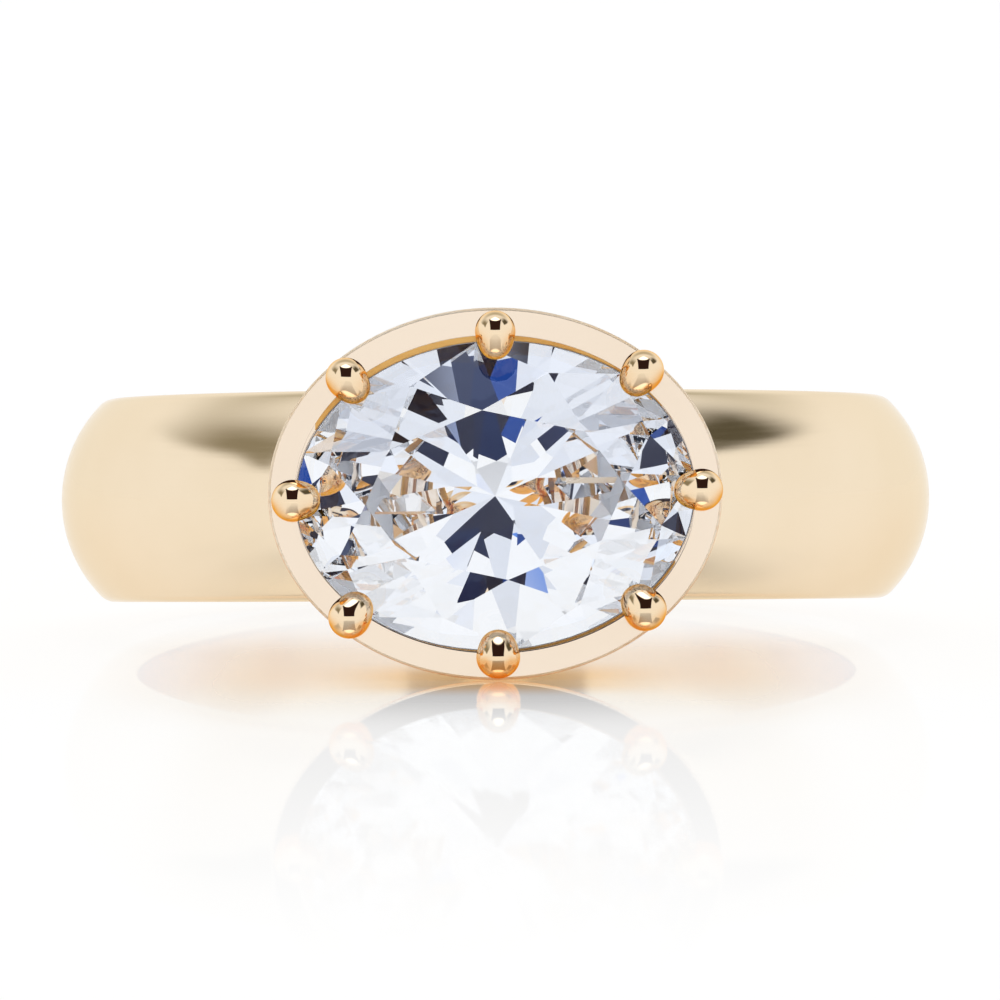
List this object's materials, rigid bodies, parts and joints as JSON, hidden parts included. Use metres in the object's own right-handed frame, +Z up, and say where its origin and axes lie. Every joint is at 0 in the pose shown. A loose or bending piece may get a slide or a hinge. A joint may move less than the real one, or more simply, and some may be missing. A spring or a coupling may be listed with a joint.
{
  "type": "east west ring",
  "caption": "Wide domed gold band ring with an oval stone set sideways in a flat-rimmed oval collar, under ball-tipped prongs.",
  "frame": {"origin": "centre of the ring's bounding box at its lowest level, on the surface that the ring lies on", "axes": "+Z up from that surface, -Y the way the stone faces, X across the finger; the ring lies on its side and leans back 4.8 degrees"},
  "size_m": [0.021, 0.0238, 0.0084],
  "materials": {
    "gold": "polished, with a satin flat rim",
    "stone": "polished facets"
  },
  "bodies": {
    "root": {"band_and_setting": "gold", "stone": "stone"}
  },
  "joints": []
}
